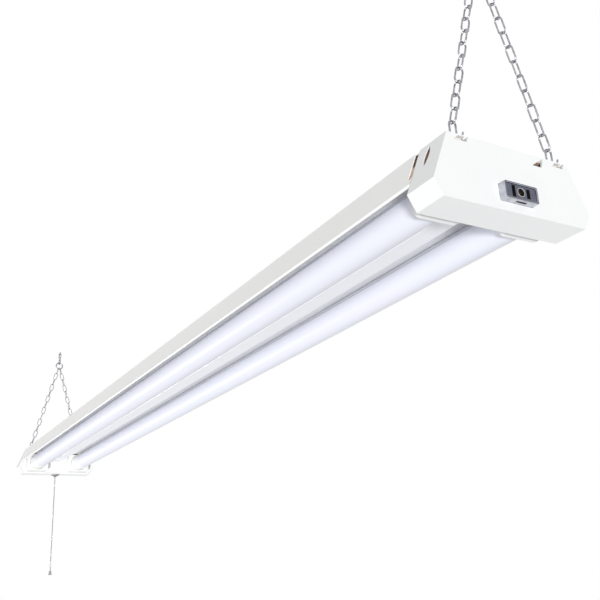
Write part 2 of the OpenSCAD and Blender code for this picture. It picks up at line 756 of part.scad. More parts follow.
// Return spring under the plunger's head
module switch_spring() {
    steps = 12 * spring_turns;
    rise = plunger_z - cavity_bottom - 2 * spring_wire_r - 0.2;
    helix = [for (i = [0 : steps])
        let (turn = 360 * spring_turns * i / steps)
        [spring_r * cos(turn), spring_r * sin(turn), rise * i / steps]];
    color("silver") hung() translate([switch_x, 0, cavity_bottom + spring_wire_r + 0.1])
        tube(helix, spring_wire_r, 6, [0, 0, 1]);
}
module pull_bead() {
    color("silver") hung() translate([switch_x, 0, swivel_z]) sphere(bead_r);
}
module pull_chain() {
    bead_wire_r = 0.45;
    color("silver") hung() translate([switch_x, 0, 0]) {
        for (i = [0 : beads - 1]) translate([0, 0, first_bead_z - i * bead_pitch]) sphere(bead_r);
        translate([0, 0, last_bead_z])
            cylinder(h = first_bead_z - last_bead_z + bead_r + 0.3, r = bead_wire_r);
    }
}
module pull_bell() {
    bell_h = 8;
    bell_top = last_bead_z - bead_r - 0.1;
    color("silver") hung() translate([switch_x, 0, bell_top - bell_h])
        rotate_extrude()
            polygon([[0, 0], [3.4, 0], [3.4, 0.8], [2.6, 2.4], [2.2, 6], [1.4, bell_h], [0, bell_h]]);
}

// ---- hanging gear ----

// Wire bails that stand out of the caps' tops, with their ends bent out under the sheet. One end of
// each turns up again through a notch.
module hanging_bails() {
    color("silver") hung() for (e = [-1, 1], s = [-1, 1]) at_end(e) translate([bail_x, s * bail_y, 0]) {
        translate([0, 0, bail_z]) rotate([0, 0, 90]) arc(bail_r, bail_wire_r, 0, 180);
        for (leg = [-1, 1]) {
            rod([0, leg * bail_r, bail_foot_z], [0, leg * bail_r, bail_z], bail_wire_r);
            translate([0, leg * bail_r, bail_foot_z]) sphere(bail_wire_r);
            rod([0, leg * bail_r, bail_foot_z], [0, leg * (bail_r + bail_foot), bail_foot_z], bail_wire_r);
        }
        translate([0, bail_r + bail_foot, bail_foot_z]) {
            sphere(bail_wire_r);
            rod([0, 0, 0], [0, bail_tip.x, bail_tip.y], bail_wire_r);
        }
    }
}
module link() {
    straight = link_half - link_mid_r;
    for (m = [0, 1]) mirror([0, 0, m]) translate([0, 0, straight]) arc(link_mid_r, link_wire_r, 0, 180);
    for (x = [-1, 1] * link_mid_r) translate([x, 0, -straight]) cylinder(h = 2 * straight, r = link_wire_r);
}
// One leg of a V: links turned a quarter turn one after another, from the bail up to the ring
module chain_leg(e, s) {
    color("silver") hung() at_end(e) translate([bail_x, s * bail_y, bail_z]) rotate([s * lean, 0, 0])
        for (i = [0 : links - 1])
            translate([0, 0, first_link + i * link_pitch]) rotate([0, 0, 90 * (i % 2)]) link();
}
module ring(e) {
    color("silver") hung() at_end(e) translate([bail_x, 0, ring_z]) rotate([0, 90, 0])
        rotate_extrude() translate([ring_r, 0]) circle(hook_wire_r);
}
module hook(e) {
    low_from = 140;
    high_to = -20;
    color("silver") hung() at_end(e) translate([bail_x, 0, 0]) {
        translate([0, 0, hook_low_z]) {
            arc(hook_low_r, hook_wire_r, low_from, 450);
            rotate([0, -low_from, 0]) translate([hook_low_r, 0, 0]) sphere(hook_wire_r);
        }
        translate([0, 0, hook_high_z]) {
            arc(hook_high_r, hook_wire_r, high_to, 270);
            rotate([0, -high_to, 0]) translate([hook_high_r, 0, 0]) sphere(hook_wire_r);
            translate([0, 0, -hook_high_r]) sphere(hook_wire_r * 1.05);
        }
    }
}

housing();
reflector();
end_cap_outlet();
end_cap_switch();
end_plate(1);  // end_plate_outlet
end_plate(-1);  // end_plate_switch
lampholder(1, -1);  // lampholder_outlet_left
lampholder(1, 1);  // lampholder_outlet_right
lampholder(-1, -1);  // lampholder_switch_left
lampholder(-1, 1);  // lampholder_switch_right
lampholder_contacts();
tube_lens(-1);  // tube_lens_left
tube_lens(1);  // tube_lens_right
tube_spine(-1);  // tube_spine_left
tube_spine(1);  // tube_spine_right
led_board(-1);  // led_board_left
led_board(1);  // led_board_right
led_chips(-1);  // led_chips_left
led_chips(1);  // led_chips_right
tube_ferrules(-1);  // tube_ferrules_left
tube_ferrules(1);  // tube_ferrules_right
tube_pins(-1);  // tube_pins_left
tube_pins(1);  // tube_pins_right
driver_case();
driver_lid();
driver_board();
driver_parts();
driver_screws();
terminal_block();
wire_live();
wire_neutral();
wire_earth();
switch_leads();
driver_leads();
lamp_leads();
earth_screw();
outlet_frame();
outlet_face();
outlet_contacts();
cord_bushing();
bushing_nut();
switch_case();
switch_nipple();
switch_nut();
switch_plunger();
switch_spring();
pull_bead();
pull_chain();
pull_bell();
hanging_bails();
chain_leg(1, -1);  // chain_outlet_left
chain_leg(1, 1);  // chain_outlet_right
chain_leg(-1, -1);  // chain_switch_left
chain_leg(-1, 1);  // chain_switch_right
ring(1);  // ring_outlet
ring(-1);  // ring_switch
hook(1);  // hook_outlet
hook(-1);  // hook_switch
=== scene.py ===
"""Looks of a hanging shop light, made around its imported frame."""
import json
import math

import bmesh
import bpy
from mathutils import Matrix, Vector


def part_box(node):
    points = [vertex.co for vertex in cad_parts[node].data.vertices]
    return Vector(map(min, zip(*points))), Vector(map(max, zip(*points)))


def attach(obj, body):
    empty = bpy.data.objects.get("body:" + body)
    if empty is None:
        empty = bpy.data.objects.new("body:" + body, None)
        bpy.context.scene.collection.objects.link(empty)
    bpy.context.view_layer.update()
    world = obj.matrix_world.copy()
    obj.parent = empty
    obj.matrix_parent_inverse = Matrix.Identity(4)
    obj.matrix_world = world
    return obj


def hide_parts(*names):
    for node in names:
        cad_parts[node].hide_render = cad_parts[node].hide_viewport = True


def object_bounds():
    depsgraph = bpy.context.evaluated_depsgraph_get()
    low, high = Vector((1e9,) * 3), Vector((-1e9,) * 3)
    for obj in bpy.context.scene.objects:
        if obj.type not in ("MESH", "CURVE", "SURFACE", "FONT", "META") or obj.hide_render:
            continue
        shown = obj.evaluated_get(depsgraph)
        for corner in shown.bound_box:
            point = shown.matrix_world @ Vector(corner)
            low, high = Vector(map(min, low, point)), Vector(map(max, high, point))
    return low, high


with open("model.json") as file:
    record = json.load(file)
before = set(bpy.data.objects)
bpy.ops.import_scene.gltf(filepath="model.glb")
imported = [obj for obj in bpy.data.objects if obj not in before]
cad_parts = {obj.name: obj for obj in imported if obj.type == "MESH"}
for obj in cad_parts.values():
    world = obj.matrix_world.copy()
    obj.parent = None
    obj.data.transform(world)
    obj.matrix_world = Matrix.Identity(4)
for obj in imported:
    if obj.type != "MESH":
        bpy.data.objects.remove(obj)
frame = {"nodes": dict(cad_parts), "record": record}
cad_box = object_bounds()
nodes = frame["nodes"]
node_body = {node: body for body, members in frame["record"]["behaviour"]["bodies"].items() for node in members}
node_slot = {part["node"]: part["material_slot"] for part in frame["record"]["subparts"]}

MM = 0.001
cap_low, cap_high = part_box("end_cap_outlet")
bottom_z = cap_low.z
top_z = cap_high.z
half_length = cap_high.x
cap_inner_x = cap_low.x


def above(height_mm):
    """Height in the frame of a point that many millimetres above the caps' bottom."""
    return bottom_z + height_mm * MM


# ---- camera, lights and surroundings ----

PHOTO_SIZE = 600
FOCAL_PIXELS = 807
SENSOR = 36
CAMERA_AT = Vector((943.46 * MM, -364.60 * MM, above(-219.63)))
CAMERA_FORWARD = Vector((-0.8106, 0.4802, 0.3353))
CAMERA_UP = Vector((0.3149, -0.1255, 0.9408))
SURROUNDINGS = (0.985, 0.99, 1.0, 1)
FLOOR_TONE = (0.93, 0.93, 0.93, 1)
FADE_FROM, FADE_TO = 0.45, 0.98


def add_camera():
    data = bpy.data.cameras.new("camera")
    data.sensor_width = SENSOR
    data.lens = SENSOR * FOCAL_PIXELS / PHOTO_SIZE
    data.clip_start = 0.01
    data.clip_end = 100
    camera = bpy.data.objects.new("camera", data)
    bpy.context.scene.collection.objects.link(camera)
    back = -CAMERA_FORWARD.normalized()
    right = CAMERA_UP.cross(back).normalized()
    up = back.cross(right)
    camera.matrix_world = Matrix.Translation(CAMERA_AT) @ Matrix((right, up, back)).transposed().to_4x4()
    bpy.context.scene.camera = camera


def add_far_lamp(name, towards_lamp, spread, strength):
    """A lamp so far off that both ends of the light get as much of it; spread is its width in degrees."""
    data = bpy.data.lights.new(name, "SUN")
    data.angle = math.radians(spread)
    data.energy = strength
    lamp = bpy.data.objects.new(name, data)
    lamp.rotation_euler = (-Vector(towards_lamp)).to_track_quat("-Z", "Y").to_euler()
    bpy.context.scene.collection.objects.link(lamp)


def seen_directly(tree):
    """1 for rays that see the surroundings: from the camera, in a reflection or through glass."""
    path = tree.nodes.new("ShaderNodeLightPath")
    either = tree.nodes.new("ShaderNodeMath")
    either.operation = "MAXIMUM"
    tree.links.new(path.outputs["Is Camera Ray"], either.inputs[0])
    tree.links.new(path.outputs["Is Glossy Ray"], either.inputs[1])
    also = tree.nodes.new("ShaderNodeMath")
    also.operation = "MAXIMUM"
    tree.links.new(either.outputs[0], also.inputs[0])
    tree.links.new(path.outputs["Is Transmission Ray"], also.inputs[1])
    return also.outputs[0]


def add_world(strength):
    world = bpy.data.worlds.new("studio")
    bpy.context.scene.world = world
    world.use_nodes = True
    tree = world.node_tree
    tree.nodes.clear()
    lighting = tree.nodes.new("ShaderNodeBackground")
    lighting.inputs["Strength"].default_value = strength
    lighting.inputs["Color"].default_value = SURROUNDINGS
    white = tree.nodes.new("ShaderNodeBackground")
    white.inputs["Color"].default_value = (1, 1, 1, 1)
    mix = tree.nodes.new("ShaderNodeMixShader")
    tree.links.new(seen_directly(tree), mix.inputs["Fac"])
    tree.links.new(lighting.outputs[0], mix.inputs[1])
    tree.links.new(white.outputs[0], mix.inputs[2])
    out = tree.nodes.new("ShaderNodeOutputWorld")
    tree.links.new(mix.outputs[0], out.inputs["Surface"])


def add_floor(drop, radius):
    """A pale round floor well below the light, which fades out at its rim and is open from below."""
    bpy.ops.mesh.primitive_circle_add(vertices=96, radius=radius, fill_type="NGON",
                                      location=(0, 0, cad_box[0].z - drop))
    floor = bpy.context.active_object
    floor.name = "floor"
    made = bpy.data.materials.new("floor")
    made.use_nodes = True
    tree = made.node_tree
    tree.nodes.clear()
    pale = tree.nodes.new("ShaderNodeBsdfDiffuse")
    pale.inputs["Color"].default_value = FLOOR_TONE
    clear = tree.nodes.new("ShaderNodeBsdfTransparent")
    place = tree.nodes.new("ShaderNodeTexCoord")
    length = tree.nodes.new("ShaderNodeVectorMath")
    length.operation = "LENGTH"
    tree.links.new(place.outputs["Object"], length.inputs[0])
    fade = tree.nodes.new("ShaderNodeMapRange")
    fade.inputs["From Min"].default_value = radius * FADE_FROM
    fade.inputs["From Max"].default_value = radius * FADE_TO
    tree.links.new(length.outputs["Value"], fade.inputs["Value"])
    side = tree.nodes.new("ShaderNodeNewGeometry")
    amount = tree.nodes.new("ShaderNodeMath")
    amount.operation = "MAXIMUM"
    tree.links.new(fade.outputs["Result"], amount.inputs[0])
    tree.links.new(side.outputs["Backfacing"], amount.inputs[1])
    mix = tree.nodes.new("ShaderNodeMixShader")
    tree.links.new(amount.outputs[0], mix.inputs["Fac"])
    tree.links.new(pale.outputs[0], mix.inputs[1])
    tree.links.new(clear.outputs[0], mix.inputs[2])
    out = tree.nodes.new("ShaderNodeOutputMaterial")
    tree.links.new(mix.outputs[0], out.inputs["Surface"])
    floor.data.materials.append(made)
    floor.visible_shadow = False


# ---- materials ----

def srgb(red, green, blue):
    """A colour as it is read off a screen, 0 to 255, in Blender's linear values."""
    def linear(c):
        c = c / 255
        return c / 12.92 if c <= 0.04045 else ((c + 0.055) / 1.055) ** 2.4
    return (linear(red), linear(green), linear(blue), 1)


def noise(tree, size, stretch=(1, 1, 1), detail=3):
    """Noise with features of that size in metres, drawn out by stretch."""
    place = tree.nodes.new("ShaderNodeTexCoord")
    mapping = tree.nodes.new("ShaderNodeMapping")
    mapping.inputs["Scale"].default_value = [1 / s for s in stretch]
    tree.links.new(place.outputs["Object"], mapping.inputs["Vector"])
    made = tree.nodes.new("ShaderNodeTexNoise")
    made.inputs["Scale"].default_value = 1 / size
    made.inputs["Detail"].default_value = detail
    tree.links.new(mapping.outputs["Vector"], made.inputs["Vector"])
    return made.outputs["Fac"]


def surface(name, color, roughness, metallic=0.0, coat=0.0, coat_roughness=0.1, shade=0.04, shade_size=0.06,
            grain=0.001, grain_depth=0.00001, stretch=(1, 1, 1), rough_spread=0.08, specular=0.5):
    """A finish whose tone, gloss and relief vary: shade is how much darker its darker patches are."""
    made = bpy.data.materials.new(name)
    made.use_nodes = True
    tree = made.node_tree
    shader = tree.nodes["Principled BSDF"]
    shader.inputs["Metallic"].default_value = metallic
    shader.inputs["Coat Weight"].default_value = coat
    shader.inputs["Coat Roughness"].default_value = coat_roughness
    shader.inputs["Specular IOR Level"].default_value = specular
    tone = tree.nodes.new("ShaderNodeMix")
    tone.data_type = "RGBA"
    tone.inputs["A"].default_value = [c * (1 - shade) for c in color[:3]] + [1]
    tone.inputs["B"].default_value = color
    patches = tree.nodes.new("ShaderNodeMapRange")
    patches.inputs["From Min"].default_value = 0.35
    patches.inputs["From Max"].default_value = 0.65
    tree.links.new(noise(tree, shade_size, stretch), patches.inputs["Value"])
    tree.links.new(patches.outputs["Result"], tone.inputs["Factor"])
    tree.links.new(tone.outputs["Result"], shader.inputs["Base Color"])
    gloss = tree.nodes.new("ShaderNodeMapRange")
    gloss.inputs["To Min"].default_value = max(0.02, roughness - rough_spread)
    gloss.inputs["To Max"].default_value = min(1, roughness + rough_spread)
    tree.links.new(noise(tree, shade_size / 4, stretch), gloss.inputs["Value"])
    tree.links.new(gloss.outputs["Result"], shader.inputs["Roughness"])
    relief = tree.nodes.new("ShaderNodeBump")
    relief.inputs["Distance"].default_value = grain_depth
    tree.links.new(noise(tree, grain, stretch, 2), relief.inputs["Height"])
    tree.links.new(relief.outputs["Normal"], shader.inputs["Normal"])
    return made


ALONG = (40, 1, 1)
FINISHES = {
    "housing_white": surface("housing_white", srgb(248, 248, 246), 0.34, coat=0.15, grain=0.0016, shade=0.015),
    # The sheet's back has a tan backer coat; the same tan on faces inside and near the caps is painted shade.
    "housing_back_and_painted_shade": surface("housing_back_and_painted_shade", srgb(214, 188, 170), 0.55, grain=0.002, shade=0.1),
    "reflector_white": surface("reflector_white", srgb(240, 241, 245), 0.36, coat=0.1, grain=0.0016, shade=0.01),
    "cap_white": surface("cap_white", srgb(244, 245, 245), 0.42, grain=0.0005, shade=0.012, shade_size=0.03),
    "holder_white": surface("holder_white", srgb(243, 244, 244), 0.38, grain=0.0006, shade=0.015),
    "lens_frosted": surface("lens_frosted", srgb(234, 236, 246), 0.36, coat=0.06, coat_roughness=0.16, shade=0.015,
                            grain=0.0012, stretch=ALONG, specular=0.15),
    "ferrule_white": surface("ferrule_white", srgb(243, 243, 241), 0.34, grain=0.0007, shade=0.015),
    "aluminium": surface("aluminium", srgb(232, 234, 238), 0.4, metallic=0.5, stretch=ALONG, grain=0.0006,
                         grain_depth=0.00002, shade=0.12, shade_size=0.004),
    "board_white": surface("board_white", srgb(238, 238, 232), 0.4, grain=0.0006),
    "chip_yellow": surface("chip_yellow", srgb(232, 200, 70), 0.25, coat=0.6, shade=0.1, shade_size=0.002),
    "pin_metal": surface("pin_metal", srgb(206, 182, 126), 0.28, metallic=1, shade=0.1, shade_size=0.003,
                         grain=0.0004),
    "zinc_steel": surface("zinc_steel", srgb(176, 177, 182), 0.3, metallic=1, shade=0.35, shade_size=0.003,
                          grain=0.0006, grain_depth=0.00003, rough_spread=0.12),
    "galvanised": surface("galvanised", srgb(178, 181, 184), 0.42, metallic=1, shade=0.22, shade_size=0.012,
                          rough_spread=0.15),
    "circuit_green": surface("circuit_green", srgb(30, 96, 52), 0.35, coat=0.4, shade=0.2, shade_size=0.006),
    "component_black": surface("component_black", srgb(42, 42, 46), 0.45, shade=0.2, shade_size=0.01),
    "terminal_ivory": surface("terminal_ivory", srgb(226, 220, 200), 0.45, shade=0.05),
    "wire_black": surface("wire_black", srgb(28, 28, 30), 0.4, shade=0.2),
    "wire_white": surface("wire_white", srgb(232, 232, 228), 0.4, shade=0.05),
    "wire_green": surface("wire_green", srgb(34, 116, 54), 0.4, shade=0.1),
    "wire_yellow": surface("wire_yellow", srgb(226, 190, 40), 0.4, shade=0.1),
    "wire_red": surface("wire_red", srgb(168, 28, 26), 0.4, shade=0.1),
    # The outlet frame is one silver part: its front is a darker copy as painted shade, and the silver on its
    # rounded edges draws painted highlight lines.
    "outlet_silver": surface("outlet_silver", srgb(208, 210, 218), 0.16, metallic=1, shade=0.3, shade_size=0.005,
                             grain=0.0006, rough_spread=0.05),
    "outlet_grey": surface("outlet_grey", srgb(92, 95, 110), 0.42, shade=0.15, shade_size=0.005, grain=0.0005,
                           specular=0.3),
    "outlet_front_painted_shade": surface("outlet_front_painted_shade", srgb(96, 98, 112), 0.3, metallic=0.6, shade=0.2, shade_size=0.003),
    # The pale ring round the ground hole is a painted highlight on the hole's edge.
    "outlet_rim_painted_highlight": surface("outlet_rim_painted_highlight", srgb(196, 190, 194), 0.3, shade=0.08, shade_size=0.002, grain=0.0004),
    # The walls and floors of the outlet's holes are painted near black as shade.
    "outlet_hole_painted_shade": surface("outlet_hole_painted_shade", srgb(26, 25, 26), 0.6, shade=0.2, shade_size=0.002),
    "bushing_black": surface("bushing_black", srgb(40, 40, 42), 0.5, shade=0.15, shade_size=0.01, grain=0.0006,
                             grain_depth=0.00003),
    "nickel": surface("nickel", srgb(190, 188, 184), 0.22, metallic=1, shade=0.25, shade_size=0.002, grain=0.0005,
                      rough_spread=0.06),
}


# ---- making pieces ----

def flatten(bm):
    """Joins a triangulated CAD mesh's corners and its flat faces."""
    bmesh.ops.remove_doubles(bm, verts=bm.verts, dist=1e-6)
    bmesh.ops.dissolve_limit(bm, angle_limit=math.radians(0.5), verts=bm.verts, edges=bm.edges)


def sharp_edges(bm, least_angle):
    return [e for e in bm.edges if e.is_manifold and e.calc_face_angle() > math.radians(least_angle)]


def round_off(bm, edges, radius, segments):
    """Rounds those edges; corners are limited where faces are narrower than the radius."""
    bmesh.ops.bevel(bm, geom=list(edges), offset=radius, offset_type="OFFSET", segments=segments, profile=0.5,
                    affect="EDGES", clamp_overlap=True)


def piece(bm, name, body, slot, finishes=None, smooth_angle=35):
    """A new object of that mesh, which rides on a body and is finished as its slot says."""
    mesh = bpy.data.meshes.new(name)
    bmesh.ops.recalc_face_normals(bm, faces=bm.faces)
    bm.to_mesh(mesh)
    bm.free()
    for face in mesh.polygons:
        face.use_smooth = True
    mesh.set_sharp_from_angle(angle=math.radians(smooth_angle))
    made = bpy.data.objects.new(name, mesh)
    bpy.context.scene.collection.objects.link(made)
    for finish in finishes or [slot]:
        mesh.materials.append(FINISHES[finish])
    weighted = made.modifiers.new("weighted", "WEIGHTED_NORMAL")
    weighted.keep_sharp = True
    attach(made, body)
    return made


def from_cad(node):
    bm = bmesh.new()
    bm.from_mesh(nodes[node].data)
    flatten(bm)
    return bm


def refined(node, edge_radius, segments=3, big=None, big_radius=0.0, big_segments=4, least_angle=25,
            finishes=None, paint=None, cuts=(), after=None):
    """A CAD node's shape with rounded edges: those that big picks get big_radius, the others edge_radius.
    paint picks a face's finish from finishes, and may change at the planes x in cuts. after reshapes the mesh."""
    bm = from_cad(node)
    for x in cuts:
        cut_across(bm, x)
    if big:
        chosen = [e for e in sharp_edges(bm, least_angle) if big(e)]
        round_off(bm, chosen, big_radius, big_segments)
    if edge_radius:
        rest = [e for e in sharp_edges(bm, least_angle) if not (big and big(e))]
        round_off(bm, rest, edge_radius, segments)
    if after:
        after(bm)
    if paint:
        bm.normal_update()
        for face in bm.faces:
            face.material_index = paint(face)
    made = piece(bm, node + "_finished", node_body[node], node_slot[node], finishes)
    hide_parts(node)
    return made


def ring_of(bm, centre, across, over, radius, sides):
    return [bm.verts.new(centre + radius * (math.cos(math.tau * k / sides) * across
                                            + math.sin(math.tau * k / sides) * over)) for k in range(sides)]


def bridge(bm, ring_a, ring_b):
    count = len(ring_a)
    for k in range(count):
        bm.faces.new((ring_a[k], ring_a[(k + 1) % count], ring_b[(k + 1) % count], ring_b[k]))


def bar(bm, path, radius, closed=False, sides=16, side=Vector((0, 1, 0))):
    """A round bar along a path of points; side is a direction that the path never takes.
    radius is one number, or a function of a point's index."""
    size = radius if callable(radius) else lambda i: radius
    count = len(path)
    rings = []
    for i, point in enumerate(path):
        before = path[(i - 1) % count] if closed or i else path[i]
        after = path[(i + 1) % count] if closed or i < count - 1 else path[i]
        ahead = (after - before).normalized()
        across = side.cross(ahead).normalized()
        over = ahead.cross(across)
        rings.append(ring_of(bm, point, across, over, size(i), sides))
    for i in range(count - 1):
        bridge(bm, rings[i], rings[i + 1])
    if closed:
        bridge(bm, rings[-1], rings[0])
    else:
        bm.faces.new(rings[0])
        bm.faces.new(rings[-1])


def lathe(bm, profile, base, axis=Vector((0, 0, 1)), sides=48):
    """Turns a profile of (radius, height) points round an axis from base; radius 0 closes an end."""
    helper = Vector((1, 0, 0)) if abs(axis.x) < 0.9 else Vector((0, 1, 0))
    across = axis.cross(helper).normalized()
    over = axis.cross(across)
    last = None
    for radius, height in profile:
        centre = base + axis * height
        now = [bm.verts.new(centre)] if radius == 0 else ring_of(bm, centre, across, over, radius, sides)
        if last is not None:
            if len(now) == 1 and len(last) > 1:
                for k in range(sides):
                    bm.faces.new((last[k], last[(k + 1) % sides], now[0]))
            elif len(last) == 1 and len(now) > 1:
                for k in range(sides):
                    bm.faces.new((now[(k + 1) % sides], now[k], last[0]))
            elif len(now) > 1:
                bridge(bm, last, now)
        last = now


# ---- body of the light ----

# The housing's rolled lip is below LIP_TOP and its top above TOP_FROM. Its sides lean out from TOP_HALF at the top
# towards the caps' widest line, at WAIST_Z. Faces that lie WITHIN_SIDES or more inside them, and less than
# TUCKED_IN from a cap, get the back's tan as painted shade. SPINE_HALF is half the width of the reflector's spine.
LIP_TOP = above(24)
TOP_FROM = top_z - 1.5 * MM
TOP_HALF = 53.1 * MM
WAIST_Z = above(11.4)
WITHIN_SIDES = 2 * MM
INSIDE_CAP = cap_inner_x + 0.5 * MM
TUCKED_IN = 12 * MM
SPINE_HALF = 18.5 * MM
# The lampholders' sockets, with their rounded mouths, and the groove pressed round each holder. The groove's lips
# and floors are that far from its cap's inner end.
TUBE_Y = 36.8 * MM
TUBE_Z = above(19.5)
SOCKET_RADIUS = 14.6 * MM
HOLDER_MIDDLE_Z = above(19)
GROOVE_LIPS = (7.3 * MM, 6.15 * MM)
GROOVE_FLOORS = (7.2 * MM, 6.25 * MM)
GROOVE_DEPTH = 0.9 * MM


def housing_fold(edge):
    """The two long folds between the top and the sides."""
    a, b = (v.co for v in edge.verts)
    lengthwise = abs((a - b).normalized().x) > 0.99 and (a - b).length > 100 * MM
    return lengthwise and min(a.z, b.z) > TOP_FROM


def side_at(z):
    """Half the housing's outer width at height z."""
    return TOP_HALF + (top_z - z) * (cap_high.y - TOP_HALF) / (top_z - WAIST_Z)


def housing_side(face):
    """0 for the painted outside; 1 for the sheet's back, a tan backer coat, and for what lies inside the caps and
    the hood near them, where the same tan is painted shade.
    """
    normal, centre = face.normal, face.calc_center_median()
    # Faces inside the caps, and those in the hood near them, get the back's tan as painted shade.
    if abs(centre.x) > INSIDE_CAP:
        return 1
    inside = abs(centre.y) < side_at(centre.z) - WITHIN_SIDES and centre.z < TOP_FROM
    if inside and abs(centre.x) > INSIDE_CAP - TUCKED_IN:
        return 1
    if centre.z < LIP_TOP and abs(normal.y) < 0.99:
        return 0
    facing_in = normal.y * centre.y < 0 and abs(normal.y) > 0.5
    return 1 if facing_in or normal.z < -0.5 else 0


def reflector_fold(edge):
    a, b = (v.co for v in edge.verts)
    return abs((a - b).x) > 0.5


def reflector_side(face):
    """0 for the white side that faces the tubes, 1 for the sheet's back."""
    normal, centre = face.normal, face.calc_center_median()
    if abs(normal.z) > 0.95:
        return 1 if normal.z > 0 else 0
    outwards = normal.y * centre.y > 0
    on_spine = abs(centre.y) < SPINE_HALF
    return 1 if outwards != on_spine else 0


def cut_across(bm, x):
    """Adds a line of edges round a mesh where it meets the plane x."""
    bmesh.ops.bisect_plane(bm, geom=bm.verts[:] + bm.edges[:] + bm.faces[:], plane_co=(x, 0, 0),
                           plane_no=(1, 0, 0))


def make_body():
    refined("housing", 0, big=housing_fold, big_radius=1.2 * MM, finishes=["housing_white", "housing_back_and_painted_shade"],
            paint=housing_side, cuts=(-INSIDE_CAP, INSIDE_CAP))
    refined("reflector", 0, big=reflector_fold, big_radius=0.28 * MM, big_segments=2,
            finishes=["reflector_white", "housing_back_and_painted_shade"], paint=reflector_side)


def cap_rim(edge):
    """The outer edges of a cap: its front outline, and the corners along it."""
    a, b = (v.co for v in edge.verts)
    front = min(abs(a.x), abs(b.x)) > half_length - 0.01 * MM and (a - b).length > 10 * MM
    along = abs((a - b).normalized().x) > 0.99 and (a - b).length > 20 * MM
    outer = max(abs(a.x), abs(b.x)) > half_length - 0.01 * MM
    return front or (along and outer)


def groove_holder(bm):
    """Presses a fine groove round a lampholder, where its cover meets its base, but not in its socket."""
    centre_y = TUBE_Y if sum(v.co.y for v in bm.verts) > 0 else -TUBE_Y
    end = 1 if sum(v.co.x for v in bm.verts) > 0 else -1
    lips = [cap_inner_x - away for away in GROOVE_LIPS]
    floors = [cap_inner_x - away for away in GROOVE_FLOORS]
    for x in lips + floors:
        cut_across(bm, end * x)
    middle = Vector((0, centre_y, HOLDER_MIDDLE_Z))
    for vert in bm.verts:
        if min(abs(end * vert.co.x - x) for x in floors) > 0.01 * MM:
            continue
        if math.hypot(vert.co.y - centre_y, vert.co.z - TUBE_Z) > SOCKET_RADIUS:
            inwards = Vector((0, middle.y - vert.co.y, middle.z - vert.co.z)).normalized()
            vert.co += inwards * GROOVE_DEPTH


def make_caps():
    for node in ("end_cap_outlet", "end_cap_switch"):
        refined(node, 0.12 * MM, segments=1, big=cap_rim, big_radius=0.9 * MM, big_segments=4)
    for node in ("end_plate_outlet", "end_plate_switch"):
        refined(node, 0)
    for end in ("outlet", "switch"):
        for side in ("left", "right"):
            refined(f"lampholder_{end}_{side}", 0.6 * MM, segments=3, after=groove_holder)


make_body()
make_caps()


# ---- lamps ----

def make_lamps():
    for side in ("left", "right"):
        refined(f"tube_lens_{side}", 0.2 * MM, segments=2)
        refined(f"tube_spine_{side}", 0)
        refined(f"tube_ferrules_{side}", 0.35 * MM, segments=3, least_angle=40)
        refined(f"tube_pins_{side}", 0.3 * MM, segments=2, least_angle=40)
        refined(f"led_board_{side}", 0.1 * MM, segments=1)


make_lamps()


# ---- hanging gear ----

LINKS = 13
LINK_LENGTH = 14.5 * MM
LINK_WIDTH = 7 * MM
LINK_WIRE = 1.3 * MM
LINK_PLAY = 0.15 * MM
LINK_WELD = 2
LINK_TURNS = (3, -5, 6, -2, -6, 4, 1, -4, 5, -3, 2, 6, -5)
BAIL_Y = 43 * MM
BAIL_RISE = 9.5 * MM
BAIL_RADIUS = 2.7 * MM
BAIL_WIRE = 1.4 * MM
BAIL_FOOT = 2.3 * MM
BAIL_FOOT_DEPTH = 3.9 * MM
BAIL_CORNER = 0.6 * MM
BAIL_TIP = Vector((0, 3.5 * MM, 9.9 * MM))
SEAT_SLIP = 0.3 * MM
HOOK_WIRE = 2.4 * MM
HOOK_SLIP = 0.1 * MM
HOOK_LOW_RADIUS = 5 * MM
HOOK_LOW_TURN = (140, 450)
HOOK_HIGH_RADIUS = 6.5 * MM
HOOK_HIGH_TURN = (270, -20)
RING_POINTS = 48
RING_WELD = 30
WELD_SWELL = 1.16
ring_low, ring_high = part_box("ring_outlet")
ring_centre = (ring_low + ring_high) / 2
RING_RADIUS = (ring_high.z - ring_low.z - HOOK_WIRE) / 2
bail_x = ring_centre.x


def arc_points(centre, across, up, radius, start, end, steps):
    """Points round an arc, in degrees from across towards up."""
    turns = [math.radians(start + (end - start) * k / steps) for k in range(steps + 1)]
    return [centre + radius * (math.cos(t) * across + math.sin(t) * up) for t in turns]


def link_path(centre, along, across):
    """The closed middle line of one link."""
    half = (LINK_LENGTH - LINK_WIRE) / 2
    bend = (LINK_WIDTH - LINK_WIRE) / 2
    straight = half - bend
    top = arc_points(centre + straight * along, across, along, bend, 0, 180, 12)
    low = arc_points(centre - straight * along, across, along, bend, 180, 360, 12)
    sides = [centre + across * bend + along * straight * k / 3 for k in (-2, -1, 0, 1, 2)]
    other = [centre - across * bend + along * straight * k / 3 for k in (2, 1, 0, -1, -2)]
    return sides + top + other + low


def welded(wire, joint):
    """A wire's radius along a closed path, thicker at the point where its ends are welded together."""
    return lambda i: wire / 2 * (WELD_SWELL if i == joint else 1.0)


def make_chain(node, end, side):
    start = Vector((end * bail_x, side * BAIL_Y, top_z + BAIL_RISE))
    finish = Vector((end * bail_x, 0, ring_centre.z))
    along = (finish - start).normalized()
    half = (LINK_LENGTH - LINK_WIRE) / 2
    seat = (BAIL_WIRE + LINK_WIRE) / 2 + SEAT_SLIP
    pitch = LINK_LENGTH - 2 * LINK_WIRE - LINK_PLAY
    flat = Vector((1, 0, 0))
    bm = bmesh.new()
    for i in range(LINKS):
        turn = math.radians(90 * (i % 2) + LINK_TURNS[i % len(LINK_TURNS)])
        across = Matrix.Rotation(turn, 3, along) @ flat
        centre = start + along * (BAIL_RADIUS - seat + half + i * pitch)
        bar(bm, link_path(centre, along, across), welded(LINK_WIRE, LINK_WELD), closed=True, sides=12,
            side=along.cross(across))
    made = piece(bm, node + "_links", node_body[node], node_slot[node])
    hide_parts(node)


